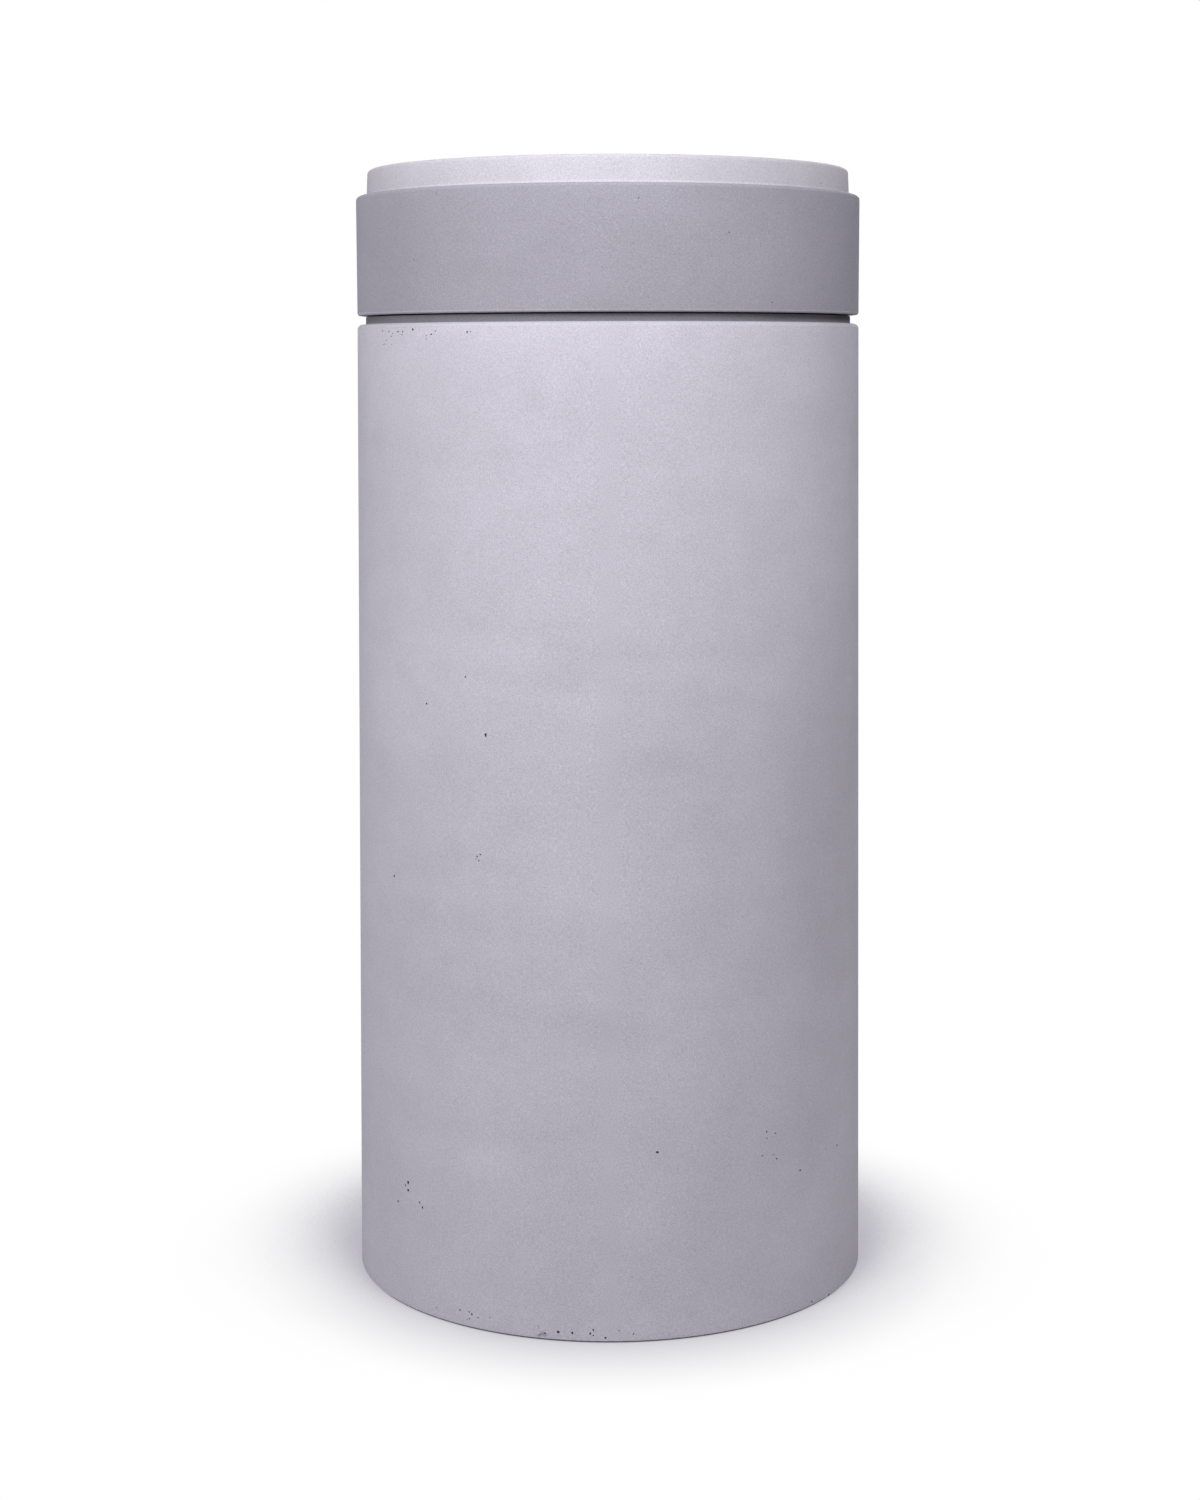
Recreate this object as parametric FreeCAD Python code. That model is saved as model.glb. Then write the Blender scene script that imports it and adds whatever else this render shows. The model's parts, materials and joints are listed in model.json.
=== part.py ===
"""Freestanding round wash basin of cast concrete: a bowl whose rim stands above a darker collar, on
a hollow cylindrical column, with its click waste, bottle trap, waste pipe and floor fixings.

Millimetres, +Z up. The origin is on the floor, at the centre of the column's foot."""
import FreeCAD, Part
import math
import os

# ---------------------------------------------------------------- driving dimensions
# Column, a hollow casting whose neck makes the shadow gap under the basin.
COLUMN_RADIUS = 200.0
COLUMN_WALL = 30.0
SHOULDER_Z = 748.0
NECK_TOP_Z = 754.0
NECK_RADIUS = 193.3
FOOT_CHAMFER = 1.5

# Collar, a ring that is flush with the column and carries the bowl by its rim.
BASIN_UNDER_Z = 755.0
STEP_Z = 849.0
COLLAR_RADIUS_LOW = 200.0
COLLAR_RADIUS_HIGH = 200.8
COLLAR_BORE = 178.6

# Bowl, whose rim stands on the collar.
RIM_TOP_Z = 870.0
RIM_RADIUS_LOW = 192.4
RIM_RADIUS_HIGH = 191.6
RIM_THICKNESS = 25.0
BOWL_OUTER = 178.0
BOWL_RADIUS_LOW = 161.0
BOWL_COVE = 28.0
BOWL_FALL = 3.4
DRAIN_Z = 783.0
SPIGOT_OUTER = 166.0
SPIGOT_INNER = 152.0
SPIGOT_DEPTH = 12.0

# Click waste, 32 mm size, for a basin without an overflow.
WASTE_HOLE_RADIUS = 23.0
WASTE_REBATE_RADIUS = 32.5
WASTE_REBATE_DEPTH = 4.0
WASTE_FLANGE_RADIUS = 31.5
WASTE_FLANGE_THICKNESS = 3.8
WASTE_NECK_RADIUS = 22.6
WASTE_THREAD_RADIUS = 20.95
WASTE_BORE_RADIUS = 17.5
WASTE_BODY_LOW_Z = 700.0
THREAD_PITCH = 2.31
THREAD_DEPTH = 1.2
NUT_BORE_RADIUS = 21.0
GASKET_THICKNESS = 0.6
PLUG_TRAVEL = 9.0
PLUG_CAP_RADIUS = 32.5

# Tail pipe, 32 mm, from the waste down into the trap.
TAIL_RADIUS = 16.0
TAIL_BORE = 14.5
TAIL_LOW_Z = 555.0

# Bottle trap on the basin's axis.
TRAP_RADIUS = 35.0
TRAP_LIP_Z = 432.0
TRAP_SHOULDER_Z = 545.0
TRAP_MOUTH_Z = 600.0
OUTLET_Z = 505.0

# Waste pipe, 40 mm, standing near the back of the column.
PIPE_RADIUS = 20.0
PIPE_BORE = 18.2
PIPE_Y = 138.0
BEND_RADIUS = 40.0
SOCKET_RADIUS = 20.15
SOCKET_LENGTH = 40.0
PIPE_FOOT_Z = 120.0
PIPE_TOP_Z = 452.0
CLIP_Z = 300.0
CLIP_SCREW_RADIUS = 2.5
WALL_PLUG_RADIUS = 4.0
WALL_PLUG_LENGTH = 20.0

# Floor brackets, one on each third of the bore, clear of the pipe at the back.
BRACKET_ANGLES = (30.0, 150.0, 270.0)
BRACKET_WIDTH = 40.0
BRACKET_THICKNESS = 4.0
BRACKET_HEIGHT = 60.0
BRACKET_REACH = 42.0
BRACKET_SEAT = 171.0
BRACKET_BOLT_Z = 38.0
ANCHOR_CIRCLE_RADIUS = 146.0
ANCHOR_HOLE_RADIUS = 4.5
INSERT_RADIUS = 7.0
INSERT_LENGTH = 18.0
INSERT_THREAD_RADIUS = 4.0
BOLT_HEAD_FLATS = 13.0
BOLT_HEAD_HEIGHT = 5.3
WASHER_THICKNESS = 1.6

# Setting pads that carry the collar on the neck.
PAD_COUNT = 6
PAD_RADIUS = 6.0
PAD_CIRCLE_RADIUS = 186.0

FIT = 0.05
BORE_RADIUS = COLUMN_RADIUS - COLUMN_WALL
UP = FreeCAD.Vector(0, 0, 1)
BACK = FreeCAD.Vector(0, 1, 0)
OUT = FreeCAD.Vector(1, 0, 0)
ORIGIN = FreeCAD.Vector(0, 0, 0)


# ---------------------------------------------------------------- shape helpers
def corner_arc(before, corner, after, radius):
    """The start, middle and end of an arc of that radius, tangent to both sides of the corner."""
    to_before = (before - corner).normalize()
    to_after = (after - corner).normalize()
    half_angle = to_before.getAngle(to_after) / 2
    reach = radius / math.tan(half_angle)
    inward = (to_before + to_after).normalize()
    centre = corner + inward * (radius / math.sin(half_angle))
    return corner + to_before * reach, centre - inward * radius, corner + to_after * reach


def outline(corners):
    """A closed wire in the XZ plane through corners (r, z) or (r, z, rounding radius)."""
    points = [FreeCAD.Vector(c[0], 0, c[1]) for c in corners]
    radii = [c[2] if len(c) > 2 else 0 for c in corners]
    stations = []
    for i, point in enumerate(points):
        if radii[i]:
            after = points[(i + 1) % len(points)]
            stations.append(corner_arc(points[i - 1], point, after, radii[i]))
        else:
            stations.append((point, None, point))
    edges = []
    for i, (start, middle, end) in enumerate(stations):
        if middle is not None:
            edges.append(Part.Arc(start, middle, end).toShape())
        following = stations[(i + 1) % len(stations)][0]
        if (following - end).Length > 1e-6:
            edges.append(Part.LineSegment(end, following).toShape())
    return Part.Wire(edges)


def lathe(corners, centre_y=0.0):
    """A solid turned about the vertical line at y = centre_y."""
    solid = Part.Face(outline(corners)).revolve(ORIGIN, UP, 360)
    solid.translate(FreeCAD.Vector(0, centre_y, 0))
    return solid


def ring(inner, outer, low, high, centre_y=0.0, edge=0.0):
    """A flat ring, with its outer edges rounded by edge."""
    corners = [(inner, low), (outer, low, edge), (outer, high, edge), (inner, high)]
    return lathe(corners, centre_y)


def rod(radius, length, start, direction):
    return Part.makeCylinder(radius, length, start, direction)


def turned(shape, degrees):
    """A copy of shape, turned about the Z axis."""
    copy = shape.copy()
    copy.rotate(ORIGIN, UP, degrees)
    return copy


def group(solids):
    return Part.makeCompound(solids)


def ribbed_nut(bore, radius, low, high, ribs, lip_bore=None, lip_low=None, lip_high=None):
    """A round nut with grip ribs, and a lip with a smaller bore between lip_low and lip_high."""
    body = ring(bore, radius, low, high, edge=1.0)
    if lip_bore is not None:
        body = body.fuse(ring(lip_bore, bore + 1.0, lip_low, lip_high))
    rib_radius = 1.6
    margin = 2.5
    start = FreeCAD.Vector(radius, 0, low + margin)
    rib = rod(rib_radius, high - low - 2 * margin, start, UP)
    for i in range(ribs):
        body = body.fuse(turned(rib, 360.0 / ribs * i))
    return body.removeSplitter()


def hexagon_nut(bore, flats, low, high):
    """A hexagon nut across flats, its corners turned off at both faces."""
    corner_radius = flats / 2 / math.cos(math.pi / 6)
    points = [
        FreeCAD.Vector(
            corner_radius * math.cos(math.radians(60 * i)),
            corner_radius * math.sin(math.radians(60 * i)),
            low,
        )
        for i in range(7)
    ]
    prism = Part.Face(Part.makePolygon(points)).extrude(UP * (high - low))
    bevel = 1.2
    turned_off = lathe(
        [
            (0, low),
            (flats / 2, low),
            (corner_radius, low + bevel),
            (corner_radius, high - bevel),
            (flats / 2, high),
            (0, high),
        ]
    )
    return prism.common(turned_off).cut(ring(0, bore, low - 1, high + 1))


def lay_back(shape, pivot_z):
    """Turns a shape made about the Z axis so that its +Z end points to +Y, at height pivot_z."""
    laid = shape.copy()
    laid.rotate(ORIGIN, OUT, -90)
    laid.translate(FreeCAD.Vector(0, 0, pivot_z))
    return laid


# ---------------------------------------------------------------- column and its fixings
def make_column():
    body = lathe(
        [
            (BORE_RADIUS + FOOT_CHAMFER, 0),
            (COLUMN_RADIUS - FOOT_CHAMFER, 0),
            (COLUMN_RADIUS, FOOT_CHAMFER),
            (COLUMN_RADIUS, SHOULDER_Z, 4.0),
            (NECK_RADIUS, SHOULDER_Z),
            (NECK_RADIUS, NECK_TOP_Z, 0.4),
            (BORE_RADIUS, NECK_TOP_Z, 2.0),
            (BORE_RADIUS, FOOT_CHAMFER),
        ]
    )
    seat_margin = 2.0
    seat = Part.makeBox(
        BRACKET_SEAT - ANCHOR_CIRCLE_RADIUS,
        BRACKET_WIDTH + 2 * seat_margin,
        BRACKET_HEIGHT + seat_margin + 1,
        FreeCAD.Vector(ANCHOR_CIRCLE_RADIUS, -BRACKET_WIDTH / 2 - seat_margin, -1),
    )
    socket_start = FreeCAD.Vector(BRACKET_SEAT - 1, 0, BRACKET_BOLT_Z)
    socket = rod(INSERT_RADIUS, INSERT_LENGTH + 1, socket_start, OUT)
    for angle in BRACKET_ANGLES:
        body = body.cut(turned(seat, angle)).cut(turned(socket, angle))
    plug_start = FreeCAD.Vector(0, BORE_RADIUS - 3, CLIP_Z)
    return body.cut(rod(WALL_PLUG_RADIUS, WALL_PLUG_LENGTH + 3, plug_start, BACK))


def make_threaded_inserts():
    start = FreeCAD.Vector(BRACKET_SEAT, 0, BRACKET_BOLT_Z)
    sleeve = rod(INSERT_RADIUS, INSERT_LENGTH, start, OUT)
    sleeve = sleeve.cut(rod(INSERT_THREAD_RADIUS, INSERT_LENGTH - 2, start, OUT))
    return group([turned(sleeve, a) for a in BRACKET_ANGLES])


def make_floor_brackets():
    """Angle brackets: a leg up the bore's wall, and a foot on the floor with the anchor's hole."""
    inner = BRACKET_SEAT - BRACKET_THICKNESS
    bend = 3.0
    foot_end = BRACKET_SEAT - BRACKET_REACH
    profile = outline(
        [
            (foot_end, 0),
            (BRACKET_SEAT, 0, bend + BRACKET_THICKNESS),
            (BRACKET_SEAT, BRACKET_HEIGHT),
            (inner, BRACKET_HEIGHT),
            (inner, BRACKET_THICKNESS, bend),
            (foot_end, BRACKET_THICKNESS),
        ]
    )
    profile.translate(BACK * (-BRACKET_WIDTH / 2))
    bracket = Part.Face(profile).extrude(BACK * BRACKET_WIDTH)
    corners = [
        e
        for e in bracket.Edges
        if abs(e.Length - BRACKET_THICKNESS) < 1e-6
        and (e.BoundBox.ZMin > BRACKET_HEIGHT - 1e-3 or e.BoundBox.XMax < foot_end + 1e-3)
    ]
    bracket = bracket.makeFillet(6.0, corners)
    anchor = rod(ANCHOR_HOLE_RADIUS, 10, FreeCAD.Vector(ANCHOR_CIRCLE_RADIUS, 0, -3), UP)
    bolt_start = FreeCAD.Vector(inner - 3, 0, BRACKET_BOLT_Z)
    bolt_hole = rod(INSERT_THREAD_RADIUS + 0.5, 12, bolt_start, OUT)
    bracket = bracket.cut(anchor).cut(bolt_hole)
    return group([turned(bracket, a) for a in BRACKET_ANGLES])


def make_bracket_washers():
    face = BRACKET_SEAT - BRACKET_THICKNESS
    start = FreeCAD.Vector(face - WASHER_THICKNESS, 0, BRACKET_BOLT_Z)
    washer = rod(8.0, WASHER_THICKNESS, start, OUT)
    washer = washer.cut(rod(INSERT_THREAD_RADIUS + 0.2, WASHER_THICKNESS, start, OUT))
    return group([turned(washer, a) for a in BRACKET_ANGLES])


def make_bracket_bolts():
    """M8 hexagon screws into the cast-in inserts."""
    under_head = BRACKET_SEAT - BRACKET_THICKNESS - WASHER_THICKNESS
    shank_length = BRACKET_THICKNESS + WASHER_THICKNESS + INSERT_LENGTH - 4
    bolt = rod(INSERT_THREAD_RADIUS - FIT, shank_length, ORIGIN, UP)
    head = hexagon_nut(0.01, BOLT_HEAD_FLATS, -BOLT_HEAD_HEIGHT, 0)
    solid_head = head.fuse(rod(1.0, BOLT_HEAD_HEIGHT, UP * -BOLT_HEAD_HEIGHT, UP))
    bolt = bolt.fuse(solid_head).removeSplitter()
    bolt.rotate(ORIGIN, BACK, 90)
    bolt.translate(FreeCAD.Vector(under_head, 0, BRACKET_BOLT_Z))
    return group([turned(bolt, a) for a in BRACKET_ANGLES])


def make_setting_pads():
    start = FreeCAD.Vector(PAD_CIRCLE_RADIUS, 0, NECK_TOP_Z)
    pad = rod(PAD_RADIUS, BASIN_UNDER_Z - NECK_TOP_Z, start, UP)
    return group([turned(pad, 360.0 / PAD_COUNT * i) for i in range(PAD_COUNT)])


# ---------------------------------------------------------------- bowl and collar
def make_collar():
    return lathe(
        [
            (COLLAR_BORE, BASIN_UNDER_Z, 2.0),
            (COLLAR_RADIUS_LOW, BASIN_UNDER_Z, 2.0),
            (COLLAR_RADIUS_HIGH, STEP_Z, 3.0),
            (COLLAR_BORE, STEP_Z, 2.0),
        ]
    )


def make_bowl():
    """Bowl with a coved bottom that falls to the waste, a rim that overhangs the collar, and a ring
    below that centres it in the column."""
    floor_edge_z = DRAIN_Z + BOWL_FALL
    return lathe(
        [
            (WASTE_HOLE_RADIUS, BASIN_UNDER_Z),
            (SPIGOT_INNER, BASIN_UNDER_Z, 3.0),
            (SPIGOT_INNER, BASIN_UNDER_Z - SPIGOT_DEPTH, 1.5),
            (SPIGOT_OUTER, BASIN_UNDER_Z - SPIGOT_DEPTH, 1.5),
            (SPIGOT_OUTER, BASIN_UNDER_Z),
            (BOWL_OUTER, BASIN_UNDER_Z, 4.0),
            (BOWL_OUTER, STEP_Z),
            (RIM_RADIUS_LOW, STEP_Z),
            (RIM_RADIUS_HIGH, RIM_TOP_Z, 3.0),
            (RIM_RADIUS_HIGH - RIM_THICKNESS, RIM_TOP_Z, 5.0),
            (BOWL_RADIUS_LOW, floor_edge_z, BOWL_COVE),
            (WASTE_REBATE_RADIUS, DRAIN_Z, 1.0),
            (WASTE_REBATE_RADIUS, DRAIN_Z - WASTE_REBATE_DEPTH),
            (WASTE_HOLE_RADIUS, DRAIN_Z - WASTE_REBATE_DEPTH),
        ]
    )


# ---------------------------------------------------------------- click waste
FLANGE_LOW_Z = DRAIN_Z - WASTE_REBATE_DEPTH + GASKET_THICKNESS
FLANGE_TOP_Z = FLANGE_LOW_Z + WASTE_FLANGE_THICKNESS
NECK_LOW_Z = BASIN_UNDER_Z + 8.0
SEAT_RADIUS = 24.5
THROAT_RADIUS = 19.5
THROAT_Z = FLANGE_TOP_Z - 7.4
THROAT_LOW_Z = THROAT_Z - 12.0
SPIDER_LOW_Z = 744.0
SPIDER_TOP_Z = 752.0
CARTRIDGE_RADIUS = 6.5
CARTRIDGE_BORE = 4.7
CARTRIDGE_LOW_Z = 733.0
CARTRIDGE_TOP_Z = 768.0
SPRING_LOW_Z = 735.0
PISTON_LOW_Z = 755.0
PISTON_TOP_Z = 763.0
STEM_RADIUS = 2.5
CAP_LOW_Z = 793.0
CAP_TOP_Z = 797.0
RUBBER_LOW_Z = BASIN_UNDER_Z - 5.0
SLIP_RING_LOW_Z = RUBBER_LOW_Z - 1.5
BACK_NUT_LOW_Z = SLIP_RING_LOW_Z - 10.5


def thread_teeth(high, low):
    """Corners of the thread's crests and roots down the tube's outside, from high to low."""
    corners = []
    for i in range(int((high - low) / THREAD_PITCH)):
        crest_z = high - i * THREAD_PITCH
        corners.append((WASTE_THREAD_RADIUS, crest_z))
        corners.append((WASTE_THREAD_RADIUS, crest_z - 0.5))
        corners.append((WASTE_THREAD_RADIUS - THREAD_DEPTH, crest_z - THREAD_PITCH / 2 - 0.25))
    return corners


def make_waste_body():
    """Flange, tapered plug seat and threaded tube, with a three-armed spider for the cartridge."""
    thread_top = BACK_NUT_LOW_Z - 1.0
    thread_low = WASTE_BODY_LOW_Z + 16.0
    body = lathe(
        [
            (WASTE_BORE_RADIUS, WASTE_BODY_LOW_Z),
            (WASTE_BORE_RADIUS, THROAT_LOW_Z),
            (THROAT_RADIUS, THROAT_Z),
            (SEAT_RADIUS, FLANGE_TOP_Z, 1.0),
            (WASTE_FLANGE_RADIUS, FLANGE_TOP_Z, 1.5),
            (WASTE_FLANGE_RADIUS, FLANGE_LOW_Z),
            (WASTE_NECK_RADIUS, FLANGE_LOW_Z),
            (WASTE_NECK_RADIUS, NECK_LOW_Z),
            (WASTE_THREAD_RADIUS, NECK_LOW_Z - 1.5),
            *thread_teeth(thread_top, thread_low),
            (WASTE_THREAD_RADIUS, thread_low),
            (WASTE_THREAD_RADIUS, WASTE_BODY_LOW_Z),
        ]
    )
    boss_radius = 9.0
    arm_width = 3.0
    body = body.fuse(ring(CARTRIDGE_RADIUS, boss_radius, SPIDER_LOW_Z, SPIDER_TOP_Z))
    arm_start = boss_radius - 1.0
    arm = Part.makeBox(
        WASTE_BORE_RADIUS + 1.0 - arm_start,
        arm_width,
        SPIDER_TOP_Z - SPIDER_LOW_Z,
        FreeCAD.Vector(arm_start, -arm_width / 2, SPIDER_LOW_Z),
    )
    for angle in (90, 210, 330):
        body = body.fuse(turned(arm, angle))
    return body.removeSplitter()


def make_back_nut():
    """Flanged hexagon nut that clamps the waste from below."""
    flange = ring(NUT_BORE_RADIUS, 29.0, SLIP_RING_LOW_Z - 2.5, SLIP_RING_LOW_Z, edge=0.6)
    nut = hexagon_nut(NUT_BORE_RADIUS, 48.0, BACK_NUT_LOW_Z, SLIP_RING_LOW_Z - 2.0)
    return flange.fuse(nut).removeSplitter()


def make_cartridge_housing():
    """Closed tube for the spring and piston, with a shoulder that rests on the spider."""
    return lathe(
        [
            (0, CARTRIDGE_LOW_Z),
            (CARTRIDGE_RADIUS - FIT, CARTRIDGE_LOW_Z, 1.0),
            (CARTRIDGE_RADIUS - FIT, SPIDER_TOP_Z),
            (8.5, SPIDER_TOP_Z),
            (8.5, SPIDER_TOP_Z + 2.0),
            (CARTRIDGE_RADIUS, SPIDER_TOP_Z + 2.0),
            (CARTRIDGE_RADIUS, CARTRIDGE_TOP_Z, 0.8),
            (STEM_RADIUS + 0.1, CARTRIDGE_TOP_Z),
            (STEM_RADIUS + 0.1, PISTON_TOP_Z + 0.5),
            (CARTRIDGE_BORE, PISTON_TOP_Z + 0.5),
            (CARTRIDGE_BORE, SPRING_LOW_Z),
            (0, SPRING_LOW_Z),
        ]
    )


def make_plug_spring():
    """Compression spring between the cartridge's floor and the piston."""
    wire_radius = 0.45
    coil_radius = 3.9
    turns = 8
    low = SPRING_LOW_Z + wire_radius
    height = PISTON_LOW_Z - wire_radius - low
    helix = Part.makeHelix(height / turns, height, coil_radius)
    section = Part.Wire(Part.makeCircle(wire_radius, FreeCAD.Vector(coil_radius, 0, 0), BACK))
    spring = helix.makePipeShell([section], True, True)
    spring.translate(UP * low)
    return spring


def make_plug_stem():
    piston_clearance = 0.1
    return lathe(
        [
            (0, PISTON_LOW_Z),
            (CARTRIDGE_BORE - piston_clearance, PISTON_LOW_Z),
            (CARTRIDGE_BORE - piston_clearance, PISTON_TOP_Z),
            (STEM_RADIUS, PISTON_TOP_Z),
            (STEM_RADIUS, CAP_LOW_Z - 2.0),
            (0, CAP_LOW_Z - 2.0),
        ]
    )


CAP_BOSS_RADIUS = 6.0
PLUG_SEAL_TOP_Z = CAP_LOW_Z - 2.0


def make_plug_cap():
    """Round cap, slightly crowned, with a boss that screws onto the stem."""
    boss_low = CAP_LOW_Z - 13.0
    stem_hole = STEM_RADIUS + FIT
    crown = 1.2
    cap = lathe(
        [
            (stem_hole, boss_low),
            (CAP_BOSS_RADIUS, boss_low),
            (CAP_BOSS_RADIUS, CAP_LOW_Z),
            (PLUG_CAP_RADIUS, CAP_LOW_Z, 0.8),
            (PLUG_CAP_RADIUS, CAP_TOP_Z - crown, 1.6),
            (PLUG_CAP_RADIUS * 0.55, CAP_TOP_Z - 0.25, 60.0),
            (0, CAP_TOP_Z),
            (0, CAP_LOW_Z - 1.5),
            (stem_hole, CAP_LOW_Z - 1.5),
        ]
    )
    return cap


def make_plug_seal():
    """Rubber dish under the cap, which lies in the tapered seat when the plug is down."""
    seal_radius = 21.9
    return lathe(
        [
            (CAP_BOSS_RADIUS, PLUG_SEAL_TOP_Z - 3.0),
            (seal_radius - 2.0, PLUG_SEAL_TOP_Z - 3.0),
            (seal_radius, PLUG_SEAL_TOP_Z - 1.0),
            (seal_radius, PLUG_SEAL_TOP_Z, 0.4),
            (CAP_BOSS_RADIUS, PLUG_SEAL_TOP_Z),
        ]
    )


# ---------------------------------------------------------------- tail pipe and its union
TAIL_COLLAR_TOP_Z = WASTE_BODY_LOW_Z - 1.5
TAIL_COLLAR_LOW_Z = TAIL_COLLAR_TOP_Z - 2.0
UNION_LOW_Z = TAIL_COLLAR_LOW_Z - 3.0
UNION_TOP_Z = WASTE_BODY_LOW_Z + 15.0


def make_tail_pipe():
    lead_in = 1.0
    return lathe(
        [
            (TAIL_BORE, TAIL_LOW_Z),
            (TAIL_RADIUS - lead_in / 2, TAIL_LOW_Z),
            (TAIL_RADIUS, TAIL_LOW_Z + lead_in),
            (TAIL_RADIUS, TAIL_COLLAR_LOW_Z),
            (WASTE_THREAD_RADIUS - 0.5, TAIL_COLLAR_LOW_Z),
            (WASTE_THREAD_RADIUS - 0.5, TAIL_COLLAR_TOP_Z),
            (TAIL_BORE, TAIL_COLLAR_TOP_Z),
        ]
    )


def make_tail_union():
    """Hexagon union nut that draws the tail's collar up against the waste."""
    nut = hexagon_nut(NUT_BORE_RADIUS, 46.0, UNION_LOW_Z, UNION_TOP_Z)
    lip = ring(TAIL_RADIUS + 0.4, NUT_BORE_RADIUS + 1.0, UNION_LOW_Z, TAIL_COLLAR_LOW_Z)
    return nut.fuse(lip).removeSplitter()


# ---------------------------------------------------------------- bottle trap
TRAP_THREAD_RADIUS = 21.0
TRAP_SOCKET_BORE = 16.3
INLET_NUT_LIP_Z = TRAP_MOUTH_Z + 5.5
INLET_NUT_TOP_Z = INLET_NUT_LIP_Z + 3.5
OUTLET_BRANCH_RADIUS = 25.0
OUTLET_BRANCH_END = 58.0
ELBOW_START = 46.0
OUTLET_NUT_LIP = OUTLET_BRANCH_END + 5.0


def make_trap_body():
    """Bottle with a dip tube down from the inlet, and a branch to the back for the outlet."""
    wall = 3.0
    dip_low = 450.0
    dip_bore = 15.0
    cavity_top = TRAP_SHOULDER_Z - 5.0
    body = lathe(
        [
            (dip_bore, dip_low),
            (dip_bore, TRAP_SHOULDER_Z + 3.0),
            (TRAP_SOCKET_BORE, TRAP_SHOULDER_Z + 3.0),
            (TRAP_SOCKET_BORE, TRAP_MOUTH_Z),
            (TRAP_THREAD_RADIUS, TRAP_MOUTH_Z),
            (TRAP_THREAD_RADIUS, TRAP_SHOULDER_Z, 4.0),
            (TRAP_RADIUS, TRAP_SHOULDER_Z, 8.0),
            (TRAP_RADIUS, TRAP_LIP_Z),
            (TRAP_RADIUS - wall, TRAP_LIP_Z),
            (TRAP_RADIUS - wall, cavity_top, 5.0),
            (dip_bore + 2.5, cavity_top, 2.0),
            (dip_bore + 2.5, dip_low),
        ]
    )
    outlet_axis = UP * OUTLET_Z
    branch = rod(OUTLET_BRANCH_RADIUS, OUTLET_BRANCH_END, outlet_axis, BACK)
    keep_out = rod(TRAP_RADIUS - wall / 2, 120, UP * (TRAP_LIP_Z + 5), UP)
    branch = branch.cut(keep_out)
    waterway = rod(SOCKET_RADIUS, OUTLET_BRANCH_END, outlet_axis + BACK * 26.0, BACK)
    return body.fuse(branch).cut(waterway).removeSplitter()


def make_trap_cup():
    """Screw-off cup with finger grips, which holds the trap's seal of water."""
    cup_radius = TRAP_RADIUS + 3.5
    floor_z = TRAP_LIP_Z - 14.0
    cup = lathe(
        [
            (0, floor_z),
            (cup_radius, floor_z, 7.0),
            (cup_radius, TRAP_LIP_Z + 16.0, 1.0),
            (TRAP_RADIUS + FIT, TRAP_LIP_Z + 16.0),
            (TRAP_RADIUS + FIT, TRAP_LIP_Z - 2.0),
            (TRAP_RADIUS - 4.0, TRAP_LIP_Z - 2.0),
            (TRAP_RADIUS - 4.0, floor_z + 3.0, 4.0),
            (0, floor_z + 3.0),
        ]
    )
    grips = 12
    start = FreeCAD.Vector(cup_radius + 1.2, 0, floor_z - 1.0)
    flute = rod(3.2, 60.0, start, UP)
    for i in range(grips):
        cup = cup.cut(turned(flute, 360.0 / grips * i))
    return cup


def make_trap_inlet_seal():
    """Rubber cone ring that the tail pushes through."""
    return lathe(
        [
            (TAIL_RADIUS + FIT, TRAP_MOUTH_Z),
            (TRAP_THREAD_RADIUS - 0.4, TRAP_MOUTH_Z),
            (TRAP_THREAD_RADIUS - 0.4, TRAP_MOUTH_Z + 3.0),
            (TAIL_RADIUS + 1.5, INLET_NUT_LIP_Z),
            (TAIL_RADIUS + FIT, INLET_NUT_LIP_Z),
        ]
    )


def make_trap_inlet_nut():
    return ribbed_nut(
        TRAP_THREAD_RADIUS + FIT,
        26.5,
        TRAP_MOUTH_Z - 16.0,
        INLET_NUT_TOP_Z,
        16,
        lip_bore=TAIL_RADIUS + 0.4,
        lip_low=INLET_NUT_LIP_Z,
        lip_high=INLET_NUT_TOP_Z,
    )


def make_trap_outlet_seal():
    seal = ring(PIPE_RADIUS + FIT, OUTLET_BRANCH_RADIUS - 0.4, OUTLET_BRANCH_END, OUTLET_NUT_LIP)
    return lay_back(seal, OUTLET_Z)


def make_trap_outlet_nut():
    nut = ribbed_nut(
        OUTLET_BRANCH_RADIUS + FIT,
        29.5,
        OUTLET_BRANCH_END - 14.0,
        OUTLET_NUT_LIP + 3.5,
        18,
        lip_bore=PIPE_RADIUS + 0.4,
        lip_low=OUTLET_NUT_LIP,
        lip_high=OUTLET_NUT_LIP + 3.5,
    )
    return lay_back(nut, OUTLET_Z)


# ---------------------------------------------------------------- waste pipe behind the trap
ELBOW_SOCKET_TOP_Z = OUTLET_Z - BEND_RADIUS - 8.0
BEAD_RADIUS = 25.5
SOCKET_WALL_RADIUS = 22.4
GROOVE_DISTANCE = 5.0
GROOVE_WIDTH = 6.0
GROOVE_RADIUS = SOCKET_RADIUS + 3.0


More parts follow.
